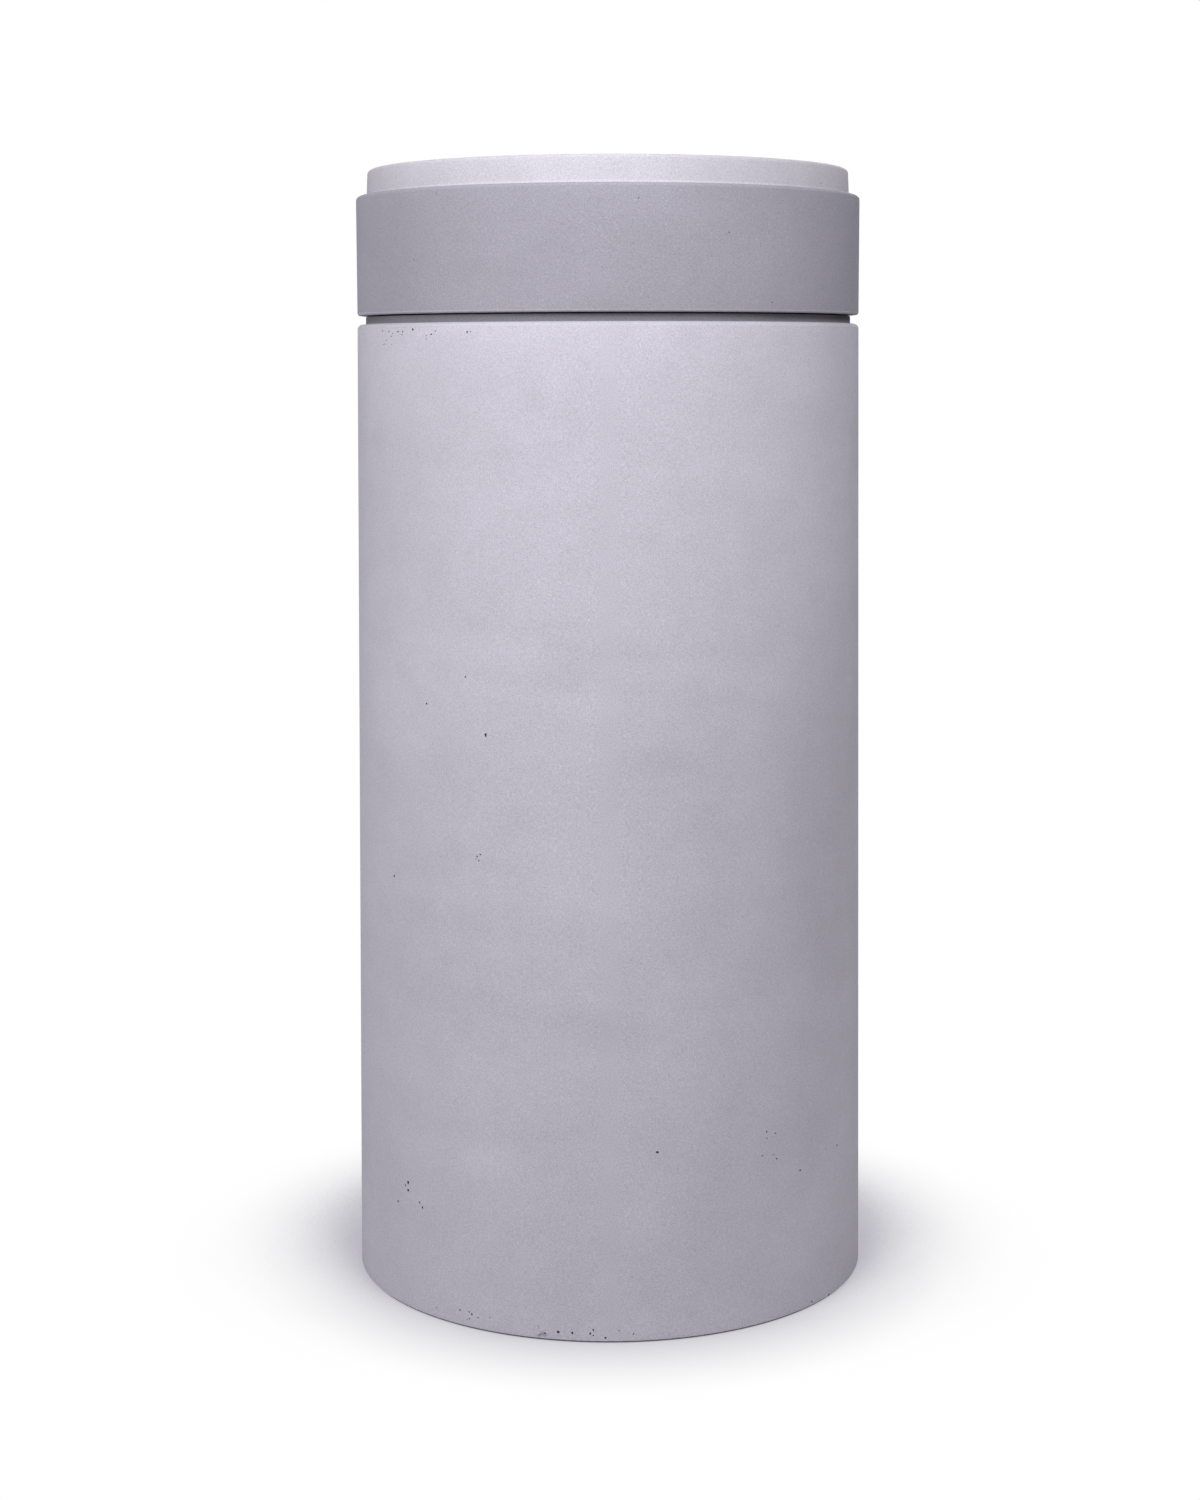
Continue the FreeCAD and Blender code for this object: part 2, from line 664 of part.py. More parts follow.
def socket_corners(mouth_z):
    """Inner and outer corners of a push-fit socket that opens downwards at mouth_z: the bore with
    its seal groove, then the sleeve with the bead around that groove."""
    top = mouth_z + SOCKET_LENGTH
    groove_low = mouth_z + GROOVE_DISTANCE
    groove_high = groove_low + GROOVE_WIDTH
    inside = [
        (SOCKET_RADIUS, mouth_z),
        (SOCKET_RADIUS, groove_low),
        (GROOVE_RADIUS, groove_low),
        (GROOVE_RADIUS, groove_high),
        (SOCKET_RADIUS, groove_high),
        (SOCKET_RADIUS, top),
        (PIPE_BORE, top),
    ]
    outside = [
        (SOCKET_WALL_RADIUS, top, 2.0),
        (SOCKET_WALL_RADIUS, groove_high + 4.5),
        (BEAD_RADIUS, groove_high + 2.0, 1.5),
        (BEAD_RADIUS, groove_low - 2.0, 1.5),
        (SOCKET_WALL_RADIUS, mouth_z),
    ]
    return inside, outside


def make_waste_elbow():
    """Bend from the trap's outlet to the vertical, ending in a socket for the waste pipe."""
    bend_start = FreeCAD.Vector(0, PIPE_Y - BEND_RADIUS, OUTLET_Z)
    bend_end = FreeCAD.Vector(0, PIPE_Y, OUTLET_Z - BEND_RADIUS)
    slope = math.sqrt(0.5) * BEND_RADIUS
    bend_centre = FreeCAD.Vector(0, PIPE_Y - BEND_RADIUS, OUTLET_Z - BEND_RADIUS)
    bend_middle = bend_centre + FreeCAD.Vector(0, slope, slope)
    inlet = FreeCAD.Vector(0, ELBOW_START, OUTLET_Z)
    outlet = FreeCAD.Vector(0, PIPE_Y, ELBOW_SOCKET_TOP_Z)
    path = Part.Wire(
        [
            Part.LineSegment(inlet, bend_start).toShape(),
            Part.Arc(bend_start, bend_middle, bend_end).toShape(),
            Part.LineSegment(bend_end, outlet).toShape(),
        ]
    )
    outer = Part.Wire(Part.makeCircle(PIPE_RADIUS, inlet, BACK))
    inner = Part.Wire(Part.makeCircle(PIPE_BORE, inlet, BACK))
    tube = path.makePipeShell([outer], True, False).cut(path.makePipeShell([inner], True, False))
    inside, outside = socket_corners(ELBOW_SOCKET_TOP_Z - SOCKET_LENGTH)
    taper_top = ELBOW_SOCKET_TOP_Z + 4.0
    taper = [(PIPE_BORE, taper_top), (PIPE_RADIUS + 0.5, taper_top)]
    socket = lathe([*inside, *taper, *outside], PIPE_Y)
    return tube.fuse(socket).removeSplitter()


def make_waste_pipe():
    """Straight pipe with a plain top end and a socket at its foot."""
    inside, outside = socket_corners(PIPE_FOOT_Z)
    taper_top = PIPE_FOOT_Z + SOCKET_LENGTH + 6.0
    return lathe(
        [
            *inside,
            (PIPE_BORE, PIPE_TOP_Z),
            (PIPE_RADIUS, PIPE_TOP_Z),
            (PIPE_RADIUS, taper_top, 2.0),
            *outside,
        ],
        PIPE_Y,
    )


def make_socket_seal(mouth_z, radius):
    """Rubber ring that fills the groove of a socket."""
    low = mouth_z + GROOVE_DISTANCE
    return ring(radius, GROOVE_RADIUS - FIT, low + FIT, low + GROOVE_WIDTH - FIT, PIPE_Y)


def make_pipe_clip():
    """Round clip on the waste pipe, with a threaded boss towards the wall."""
    width = 18.0
    clip_radius = PIPE_RADIUS + 2.6
    clip = ring(PIPE_RADIUS + FIT, clip_radius, CLIP_Z - width / 2, CLIP_Z + width / 2, edge=0.8)
    boss = rod(6.5, 9.0, FreeCAD.Vector(0, clip_radius - 1.2, CLIP_Z), BACK)
    thread = rod(CLIP_SCREW_RADIUS + FIT, 8.0, FreeCAD.Vector(0, clip_radius, CLIP_Z), BACK)
    mouth = Part.makeBox(3.0, 12.0, 40.0, FreeCAD.Vector(-1.5, -clip_radius - 6.0, CLIP_Z - 20.0))
    clip = clip.fuse(boss).cut(thread).cut(mouth)
    clip.translate(BACK * PIPE_Y)
    return clip


def make_clip_screw():
    start = PIPE_Y + PIPE_RADIUS + 2.6 + 1.0
    end = BORE_RADIUS + WALL_PLUG_LENGTH - 3.0
    return rod(CLIP_SCREW_RADIUS, end - start, FreeCAD.Vector(0, start, CLIP_Z), BACK)


def make_wall_plug():
    start = FreeCAD.Vector(0, BORE_RADIUS, CLIP_Z)
    plug = rod(WALL_PLUG_RADIUS, WALL_PLUG_LENGTH, start, BACK)
    return plug.cut(rod(CLIP_SCREW_RADIUS + FIT, WALL_PLUG_LENGTH - 2, start, BACK))


# ---------------------------------------------------------------- all the nodes
def make_all():
    elbow_mouth = ELBOW_SOCKET_TOP_Z - SOCKET_LENGTH
    washer_bore = NUT_BORE_RADIUS + 0.2
    return {
        "column": make_column(),
        "threaded_inserts": make_threaded_inserts(),
        "floor_brackets": make_floor_brackets(),
        "bracket_washers": make_bracket_washers(),
        "bracket_bolts": make_bracket_bolts(),
        "setting_pads": make_setting_pads(),
        "collar": make_collar(),
        "bowl": make_bowl(),
        "waste_body": make_waste_body(),
        "waste_flange_gasket": ring(
            WASTE_HOLE_RADIUS, 31.0, DRAIN_Z - WASTE_REBATE_DEPTH, FLANGE_LOW_Z
        ),
        "waste_rubber_washer": ring(washer_bore, 32.0, RUBBER_LOW_Z, BASIN_UNDER_Z, edge=1.5),
        "waste_slip_ring": ring(washer_bore, 31.0, SLIP_RING_LOW_Z, RUBBER_LOW_Z, edge=0.5),
        "waste_back_nut": make_back_nut(),
        "cartridge_housing": make_cartridge_housing(),
        "plug_spring": make_plug_spring(),
        "plug_stem": make_plug_stem(),
        "plug_cap": make_plug_cap(),
        "plug_seal": make_plug_seal(),
        "tail_pipe": make_tail_pipe(),
        "tail_washer": ring(
            TAIL_RADIUS + 0.5, WASTE_THREAD_RADIUS - 0.2, TAIL_COLLAR_TOP_Z, WASTE_BODY_LOW_Z
        ),
        "tail_union_nut": make_tail_union(),
        "trap_body": make_trap_body(),
        "trap_cup": make_trap_cup(),
        "trap_cup_seal": ring(TRAP_RADIUS - 3.0, TRAP_RADIUS - FIT, TRAP_LIP_Z - 2.0, TRAP_LIP_Z),
        "trap_inlet_nut": make_trap_inlet_nut(),
        "trap_inlet_seal": make_trap_inlet_seal(),
        "trap_outlet_nut": make_trap_outlet_nut(),
        "trap_outlet_seal": make_trap_outlet_seal(),
        "waste_elbow": make_waste_elbow(),
        "elbow_seal": make_socket_seal(elbow_mouth, PIPE_RADIUS + FIT),
        "waste_pipe": make_waste_pipe(),
        "pipe_socket_seal": make_socket_seal(PIPE_FOOT_Z, SOCKET_RADIUS),
        "pipe_clip": make_pipe_clip(),
        "clip_screw": make_clip_screw(),
        "wall_plug": make_wall_plug(),
    }


def main():
    os.makedirs("parts", exist_ok=True)
    for name, shape in make_all().items():
        solids = shape.Solids
        if not solids or not all(s.isValid() and s.Volume > 0 for s in solids):
            raise RuntimeError(f"{name} is not made of valid solids")
        shape.exportStep(f"parts/{name}.step")
        print(f"{name}: {len(solids)} solid(s), {shape.Volume / 1000:.2f} cm3")


main()
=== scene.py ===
"""Looks for the pedestal wash basin: cast concrete with its grain, clouds and air holes, the metal,
rubber and plastic of the waste inside, and a white studio. Lengths are in metres, +Z up."""
import json
import math
import random

import bmesh
import bpy
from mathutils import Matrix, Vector, noise


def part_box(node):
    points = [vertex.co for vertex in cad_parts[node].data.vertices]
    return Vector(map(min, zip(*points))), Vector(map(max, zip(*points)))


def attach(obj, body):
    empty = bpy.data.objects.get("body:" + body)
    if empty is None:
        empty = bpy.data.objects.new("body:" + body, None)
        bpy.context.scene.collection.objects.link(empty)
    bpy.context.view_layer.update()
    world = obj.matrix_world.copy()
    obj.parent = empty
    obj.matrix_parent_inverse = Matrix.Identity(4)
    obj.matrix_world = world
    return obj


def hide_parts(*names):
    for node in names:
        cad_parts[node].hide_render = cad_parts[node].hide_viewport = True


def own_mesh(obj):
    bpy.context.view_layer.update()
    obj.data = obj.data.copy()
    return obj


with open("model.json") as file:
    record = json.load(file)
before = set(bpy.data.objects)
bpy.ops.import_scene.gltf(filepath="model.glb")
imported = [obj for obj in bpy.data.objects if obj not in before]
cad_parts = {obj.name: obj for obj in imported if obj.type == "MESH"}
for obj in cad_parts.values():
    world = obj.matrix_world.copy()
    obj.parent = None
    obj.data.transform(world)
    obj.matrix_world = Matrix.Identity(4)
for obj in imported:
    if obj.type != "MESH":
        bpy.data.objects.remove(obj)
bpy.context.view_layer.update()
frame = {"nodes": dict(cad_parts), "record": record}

MM = 0.001

# ---------------------------------------------------------------- driving dimensions
# Column, from its CAD box and its section.
COLUMN_RADIUS = 200.0 * MM
COLUMN_BORE = 170.0 * MM
NECK_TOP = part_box("column")[1].z
SHOULDER = NECK_TOP - 6.0 * MM
NECK_RADIUS = 193.3 * MM
FOOT_CHAMFER = 1.5 * MM

# Collar and bowl, from their CAD boxes and their sections.
COLLAR_LOW, COLLAR_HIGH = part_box("collar")
COLLAR_RADIUS_LOW = 200.0 * MM
COLLAR_RADIUS_HIGH = 200.8 * MM
COLLAR_BORE = 178.6 * MM
BOWL_LOW, BOWL_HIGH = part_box("bowl")
BOWL_UNDERSIDE = COLLAR_LOW.z
RIM_LOW = COLLAR_HIGH.z
RIM_RADIUS_LOW = 192.4 * MM
RIM_RADIUS_HIGH = 191.6 * MM
RIM_THICKNESS = 25.0 * MM
BOWL_OUTER = 178.0 * MM
BOWL_INNER = 161.0 * MM
BOWL_COVE = 28.0 * MM
DRAIN = BOWL_HIGH.z - 87.0 * MM
BOWL_FALL = 3.4 * MM
REBATE_RADIUS = 32.5 * MM
REBATE_DEPTH = 4.0 * MM
WASTE_HOLE = 23.0 * MM
SPIGOT_OUTER = 166.0 * MM
SPIGOT_INNER = 152.0 * MM

# Spring under the plug. SPRING_WIRE is the wire's radius.
SPRING_RADIUS = 3.9 * MM
SPRING_WIRE = 0.45 * MM
SPRING_TURNS = 8
SPRING_STEPS = 40
SPRING_SIDES = 12

# How finely the castings are turned, and the sharpest edge, in degrees, that is shaded smooth.
SEGMENTS = 360
ARC_STEPS = 6
LONGEST_RUN = 9.0 * MM
SHARPEST_CASTING_EDGE = 32.0

# Air holes: their depth in radii, how much wider the ones placed one by one are cut than listed,
# and how many are drawn at random, with the chips at the back of the foot.
PIT_DEPTH = 2.2
PLACED_HOLE_GROWTH = 1.15
BACK_HOLES = 46
COLLAR_HOLES = 26
RIM_HOLES = 22
BOWL_WALL_HOLES = 26
BACK_CHIPS = 5

# Half depth of a patch of lighter or darker concrete, measured into the wall.
PATCH_DEPTH = 60.0 * MM

# Colours, linear. The column and the bowl are nearly one tone, the collar a darker one.
COLUMN_TONE = (0.47, 0.452, 0.524)
BOWL_TONE = (0.46, 0.442, 0.498)
COLLAR_TONE = (0.278, 0.267, 0.315)
# The inside of an air hole: dark for dirt in it and as painted shade in the pit.
HOLE_DIRT_AND_SHADE_TONE = (0.14, 0.135, 0.155)

# Camera, level with the top of the column and nearly square to it.
CAMERA_DISTANCE = 2.0655
CAMERA_HEIGHT = 0.7233
CAMERA_TILT = math.radians(1.55)
CAMERA_ROLL = math.radians(0.13)
FOCAL_LENGTH = 61.75
SENSOR = (28.8, 36.0)
SHIFT = (-0.0054, -0.2167)

# Light: an even dome, and round soft boxes as (name, degrees to the right of the camera's side,
# distance, height, width, watts).
SKY_STRENGTH = 0.46
LIGHT_TARGET = Vector((0.0, 0.0, 0.55))
SOFT_BOXES = (
    ("key", -8, 0.9, 1.3, 0.8, 7.35),
    ("left_fill", -60, 2.0, 1.2, 0.8, 13.6),
    ("right_fill", 35, 1.2, 1.4, 0.8, 6.1),
    ("back_fill", 172, 1.8, 1.5, 1.4, 22.0),
)

# Floor: what it throws back, and the shading at the foot that only the camera sees, a wide one that
# falls mostly behind the column and a narrow one all round where it touches.
FLOOR_PAPER = (0.5, 0.5, 0.5, 1.0)
FLOOR_SHADE = (0.49, 0.475, 0.53, 1.0)
FLOOR_SHADE_REACH = 180.0 * MM
FLOOR_SHADE_LEAN = math.radians(30.0)
FLOOR_SHADE_POWER = 2.2
FLOOR_SHADE_GAIN = 9.3
CONTACT_SHADE_REACH = 100.0 * MM
CONTACT_SHADE_GAIN = 1.5
WHITE = (1.0, 1.0, 1.0, 1.0)


# ---------------------------------------------------------------- mesh helpers
def corner_arc(before, corner, after, radius, steps):
    """Points along an arc of that radius, tangent to both sides of the corner."""
    to_before = (before - corner).normalized()
    to_after = (after - corner).normalized()
    half = to_before.angle(to_after) / 2
    reach = radius / math.tan(half)
    centre = corner + (to_before + to_after).normalized() * (radius / math.sin(half))
    first = corner + to_before * reach - centre
    last = corner + to_after * reach - centre
    sweep = first.angle_signed(last)
    points = []
    for i in range(steps + 1):
        angle = -sweep * i / steps
        c, s = math.cos(angle), math.sin(angle)
        points.append(centre + Vector((first.x * c - first.y * s, first.x * s + first.y * c)))
    return points


def rounded(corners):
    """Points of a closed profile through corners (r, z) or (r, z, rounding), long runs divided."""
    points = [Vector((c[0], c[1])) for c in corners]
    turned = []
    for i, corner in enumerate(corners):
        if len(corner) > 2:
            after = points[(i + 1) % len(points)]
            turned += corner_arc(points[i - 1], points[i], after, corner[2], ARC_STEPS)
        else:
            turned.append(points[i])
    divided = []
    for start, end in zip(turned, turned[1:] + turned[:1]):
        runs = max(1, math.ceil((end - start).length / LONGEST_RUN))
        divided += [start.lerp(end, i / runs) for i in range(runs)]
    return divided


def new_object(name, bm, material):
    mesh = bpy.data.meshes.new(name)
    bm.to_mesh(mesh)
    bm.free()
    mesh.materials.append(material)
    obj = bpy.data.objects.new(name, mesh)
    bpy.context.scene.collection.objects.link(obj)
    return obj


def turned_mesh(name, corners, material):
    """The profile turned about the Z axis."""
    profile = rounded(corners)
    bm = bmesh.new()
    rings = []
    for i in range(SEGMENTS):
        angle = 2 * math.pi * i / SEGMENTS
        c, s = math.cos(angle), math.sin(angle)
        rings.append([bm.verts.new((p.x * c, p.x * s, p.y)) for p in profile])
    count = len(profile)
    for i, ring in enumerate(rings):
        following = rings[(i + 1) % SEGMENTS]
        for j in range(count):
            k = (j + 1) % count
            bm.faces.new((ring[j], following[j], following[k], ring[k]))
    bmesh.ops.recalc_face_normals(bm, faces=bm.faces)
    return new_object(name, bm, material)


def add_pit(bm, pits, place, outward, radius, depth, rng):
    """A lumpy ball that sinks into the surface, to cut one air hole or chip, if it is clear of the
    pits so far."""
    if any((place - other).length < 1.7 * (radius + width) for other, width in pits):
        return
    pits.append((place, radius))
    ball = bmesh.ops.create_icosphere(bm, subdivisions=2, radius=1.0)["verts"]
    seed = Vector((rng.uniform(0, 90), rng.uniform(0, 90), rng.uniform(0, 90)))
    turn = outward.to_track_quat("Z", "Y")
    stretch = rng.uniform(0.8, 1.25)
    for v in ball:
        lump = 1.0 + 0.28 * noise.noise(v.co * 1.4 + seed)
        shape = Vector((v.co.x * radius * stretch, v.co.y * radius / stretch, v.co.z * depth))
        v.co = place + turn @ (shape * lump)


def on_cylinder(radius, degrees, height):
    """A point on a vertical cylinder and its outward direction. 0 degrees is the front, and positive
    degrees are to the viewer's right."""
    angle = math.radians(degrees)
    outward = Vector((math.sin(angle), -math.cos(angle), 0.0))
    return outward * radius + Vector((0.0, 0.0, height)), outward


def cut(obj, cutter):
    """Cuts the cutter out of obj, for good, and takes the cutter away. The new faces keep the
    cutter's material."""
    modifier = obj.modifiers.new("pits", "BOOLEAN")
    modifier.operation = "DIFFERENCE"
    modifier.solver = "EXACT"
    modifier.material_mode = "TRANSFER"
    modifier.object = cutter
    bpy.context.view_layer.update()
    evaluated = obj.evaluated_get(bpy.context.evaluated_depsgraph_get())
    mesh = bpy.data.meshes.new_from_object(evaluated)
    obj.modifiers.clear()
    old = obj.data
    obj.data = mesh
    bpy.data.meshes.remove(old)
    bpy.data.objects.remove(cutter)


def smooth(obj, sharpest):
    """Smooth shading, but for edges sharper than that many degrees."""
    for polygon in obj.data.polygons:
        polygon.use_smooth = True
    obj.data.set_sharp_from_angle(angle=math.radians(sharpest))


# ---------------------------------------------------------------- node helpers
class Nodes:
    """A material with its Principled shader, and short ways to add nodes to it."""

    def __init__(self, name):
        self.material = bpy.data.materials.new(name)
        self.material.use_nodes = True
        self.tree = self.material.node_tree
        self.shader = self.tree.nodes["Principled BSDF"]
        self.place = self.add("ShaderNodeTexCoord").outputs["Object"]

    def add(self, kind, **settings):
        node = self.tree.nodes.new(kind)
        for key, value in settings.items():
            setattr(node, key, value)
        return node

    def link(self, source, target):
        self.tree.links.new(source, target)

    def put(self, node, socket, value):
        """Sets a socket to a number, or links an output to it."""
        if isinstance(value, bpy.types.NodeSocket):
            self.link(value, node.inputs[socket])
        else:
            node.inputs[socket].default_value = value

    def math(self, operation, a, b, clamp=False):
        node = self.add("ShaderNodeMath", operation=operation, use_clamp=clamp)
        self.put(node, 0, a)
        self.put(node, 1, b)
        return node.outputs[0]

    def stretched(self, scale, turn=(0.0, 0.0, 0.0)):
        node = self.add("ShaderNodeMapping")
        self.link(self.place, node.inputs["Vector"])
        node.inputs["Scale"].default_value = scale
        node.inputs["Rotation"].default_value = turn
        return node.outputs[0]

    def noise(self, scale, detail=2.0, roughness=0.5, place=None, distortion=0.0):
        node = self.add("ShaderNodeTexNoise")
        self.link(place or self.place, node.inputs["Vector"])
        node.inputs["Scale"].default_value = scale
        node.inputs["Detail"].default_value = detail
        node.inputs["Roughness"].default_value = roughness
        node.inputs["Distortion"].default_value = distortion
        return node.outputs["Fac"]

    def cells(self, scale):
        node = self.add("ShaderNodeTexVoronoi", feature="F1")
        self.link(self.place, node.inputs["Vector"])
        node.inputs["Scale"].default_value = scale
        return node

    def spread(self, value, low, high, out_low, out_high):
        """Maps low..high to out_low..out_high, and holds the ends."""
        node = self.add("ShaderNodeMapRange")
        self.link(value, node.inputs["Value"])
        for socket, number in zip(
            ("From Min", "From Max", "To Min", "To Max"), (low, high, out_low, out_high)
        ):
            node.inputs[socket].default_value = number
        return node.outputs["Result"]

    def level(self, low, high, soft, value):
        """value between two heights and 1 outside them, with edges that soft."""
        axes = self.add("ShaderNodeSeparateXYZ")
        self.link(self.place, axes.inputs[0])
        above = self.spread(axes.outputs["Z"], low - soft, low, 0.0, 1.0)
        below = self.spread(axes.outputs["Z"], high, high + soft, 1.0, 0.0)
        return self.spread(self.math("MULTIPLY", above, below), 0.0, 1.0, 1.0, value)

    def patch(self, place, turn, lean, size, value):
        """value at a place, fading to 1 at the edge of an ellipsoid of that half size."""
        node = self.add("ShaderNodeMapping", vector_type="TEXTURE")
        self.link(self.place, node.inputs["Vector"])
        node.inputs["Location"].default_value = place
        node.inputs["Rotation"].default_value = (0.0, lean, turn)
        node.inputs["Scale"].default_value = size
        distance = self.add("ShaderNodeVectorMath", operation="LENGTH")
        self.link(node.outputs[0], distance.inputs[0])
        fade = self.add("ShaderNodeMapRange", interpolation_type="SMOOTHSTEP")
        self.link(distance.outputs["Value"], fade.inputs["Value"])
        fade.inputs["To Min"].default_value = value
        return fade.outputs["Result"]

    def product(self, values):
        total = values[0]
        for value in values[1:]:
            total = self.math("MULTIPLY", total, value)
        return total

    def tinted(self, colour, value):
        """A colour made lighter or darker by value."""
        node = self.add("ShaderNodeVectorMath", operation="SCALE")
        node.inputs[0].default_value = colour
        self.put(node, "Scale", value)
        return node.outputs[0]

    def mixed(self, factor, a, b):
        node = self.add("ShaderNodeMix", data_type="RGBA")
        self.put(node, 0, factor)
        self.put(node, 6, a)
        self.put(node, 7, b)
        return node.outputs[2]

    def bump(self, height, distance, strength=1.0, normal=None):
        node = self.add("ShaderNodeBump")
        self.link(height, node.inputs["Height"])
        node.inputs["Distance"].default_value = distance
        node.inputs["Strength"].default_value = strength
        if normal is not None:
            self.link(normal, node.inputs["Normal"])
        return node.outputs[0]

    def set(self, **values):
        """Sets the shader's own sockets, named with _ for spaces."""
        for key, value in values.items():
            self.put(self.shader, key.replace("_", " "), value)
        return self.material


# ---------------------------------------------------------------- materials
def concrete(name, tone, hole_share, levels=(), patches=()):
    """Smooth cast concrete: wide clouds, level bands from the pour, sandy grain and air holes.

    levels are (low, high, soft, value) and patches (degrees, height, half width, half height, lean,
    value), with degrees to the right of the camera's side and lengths in millimetres.
    """
    n = Nodes(name)
    clouds = n.spread(n.noise(4.2, 3.0, 0.5, distortion=0.6), 0.3, 0.7, 0.955, 1.04)
    level = n.stretched((3.0, 3.0, 11.0), (0.12, 0.2, 0.0))
    bands = n.spread(n.noise(1.0, 4.0, 0.55, level, 0.9), 0.32, 0.68, 0.965, 1.03)
    mottle = n.noise(34.0, 6.0, 0.62)
    mottles = n.spread(mottle, 0.3, 0.7, 0.97, 1.03)
    grain = n.noise(1150.0, 2.0, 0.7)
    grains = n.spread(grain, 0.2, 0.8, 0.7, 1.3)

    gathered = n.spread(n.noise(6.5, 3.0, 0.55, distortion=0.4), 0.5, 0.72, 0.0, 1.0)
    sand = n.cells(520.0)
    sand_pick = n.add("ShaderNodeSeparateColor")
    n.link(sand.outputs["Color"], sand_pick.inputs[0])
    sand_size = n.math("MULTIPLY", gathered, n.spread(sand_pick.outputs[0], 0.84, 1.0, 0.0, 0.42))
    sand_dark = n.math("LESS_THAN", sand.outputs["Distance"], sand_size)
    sands = n.spread(sand_dark, 0.0, 1.0, 1.0, 0.86)

    holes = n.cells(62.0)
    hole_pick = n.add("ShaderNodeSeparateColor")
    n.link(holes.outputs["Color"], hole_pick.inputs[0])
    hole_size = n.spread(hole_pick.outputs[0], 1.0 - hole_share, 1.0, 0.0, 0.036)
    inside = n.math("SUBTRACT", hole_size, holes.outputs["Distance"])
    hole = n.spread(inside, 0.0, 0.012, 0.0, 1.0)
    # Air holes are darkened for dirt in them and as painted shade, since they have no depth.
    hole_dirt_and_shade = n.spread(hole, 0.0, 1.0, 1.0, 0.42)

    # Levels and patches make the concrete lighter or darker: stains, and also painted light and
    # painted shade.
    marks = [n.level(low * MM, high * MM, soft * MM, value) for low, high, soft, value in levels]
    for degrees, height, wide, tall, lean, value in patches:
        place, _ = on_cylinder(COLUMN_RADIUS, degrees, height * MM)
        size = (wide * MM, PATCH_DEPTH, tall * MM)
        marks.append(n.patch(place, math.radians(degrees), math.radians(lean), size, value))

    value = n.product([clouds, bands, mottles, grains, sands, hole_dirt_and_shade] + marks)
    rough = n.spread(mottle, 0.3, 0.7, 0.72, 0.84)
    relief = n.bump(grain, 0.12 * MM, 0.5)
    relief = n.bump(mottle, 0.5 * MM, 0.25, relief)
    relief = n.bump(n.math("SUBTRACT", 1.0, hole), 0.7 * MM, 0.9, relief)
    return n.set(
        Base_Color=n.tinted(tone, value),
        Roughness=rough,
        Normal=relief,
        Specular_IOR_Level=0.35,
    )


def polished(name, colour, smear):
    """Plated metal, bright, with faint smears where it has been wiped."""
    n = Nodes(name)
    wiped = n.noise(38.0, 4.0, 0.6, distortion=1.2)
    return n.set(
        Base_Color=n.tinted(colour, n.spread(wiped, 0.3, 0.7, 0.95, 1.0)),
        Metallic=1.0,
        Roughness=n.spread(wiped, 0.35, 0.75, 0.06, smear),
    )


def machined(name, colour, rough):
    """Turned or drawn metal, with fine rings along the part."""
    n = Nodes(name)
    lines = n.noise(1.0, 3.0, 0.6, n.stretched((60.0, 60.0, 1900.0)))
    stain = n.noise(55.0, 5.0, 0.6)
    value = n.product([n.spread(lines, 0.3, 0.7, 0.93, 1.05), n.spread(stain, 0.3, 0.7, 0.88, 1.03)])
    return n.set(
        Base_Color=n.tinted(colour, value),
        Metallic=1.0,
        Roughness=n.spread(stain, 0.3, 0.7, rough + 0.08, rough - 0.05),
        Normal=n.bump(lines, 0.03 * MM, 0.4),
    )


def zinc_plate(name):
    """Zinc plate on pressed steel: a soft spangle and a dull bloom."""
    n = Nodes(name)
    spangle = n.cells(260.0)
    pick = n.add("ShaderNodeSeparateColor")
    n.link(spangle.outputs["Color"], pick.inputs[0])
    bloom = n.noise(70.0, 5.0, 0.6)
    value = n.product(
        [n.spread(pick.outputs[1], 0.0, 1.0, 0.9, 1.05), n.spread(bloom, 0.3, 0.7, 0.9, 1.04)]
    )
    return n.set(
        Base_Color=n.tinted((0.56, 0.57, 0.58), value),
        Metallic=0.9,
        Roughness=n.spread(pick.outputs[1], 0.0, 1.0, 0.3, 0.46),
    )


def rubber(name):
    """Black rubber with a dusty, slightly uneven face."""
    n = Nodes(name)
    dust = n.noise(120.0, 5.0, 0.65)
    grain = n.noise(1400.0, 2.0, 0.6)
    return n.set(
        Base_Color=n.mixed(n.spread(dust, 0.35, 0.8, 0.0, 1.0), (0.012, 0.012, 0.013, 1.0),
                           (0.035, 0.034, 0.033, 1.0)),
        Roughness=n.spread(dust, 0.3, 0.7, 0.6, 0.8),
        Normal=n.bump(grain, 0.05 * MM, 0.4),
    )


def moulded_plastic(name, colour, rough, specks):
    """Moulded plastic: an even colour with faint flow marks, a fine eroded face and a little dust."""
    n = Nodes(name)
    flow = n.noise(1.0, 3.0, 0.5, n.stretched((14.0, 14.0, 42.0)), 1.5)
    grain = n.noise(1700.0, 2.0, 0.6)
    dust = n.noise(95.0, 6.0, 0.7)
    value = n.product(
        [n.spread(flow, 0.3, 0.7, 0.97, 1.02), n.spread(dust, 0.45, 0.85, 1.0, 1.0 - specks)]
    )
    return n.set(
        Base_Color=n.tinted(colour, value),
        Roughness=n.spread(grain, 0.3, 0.7, rough - 0.05, rough + 0.07),
        Normal=n.bump(grain, 0.03 * MM, 0.35),
    )


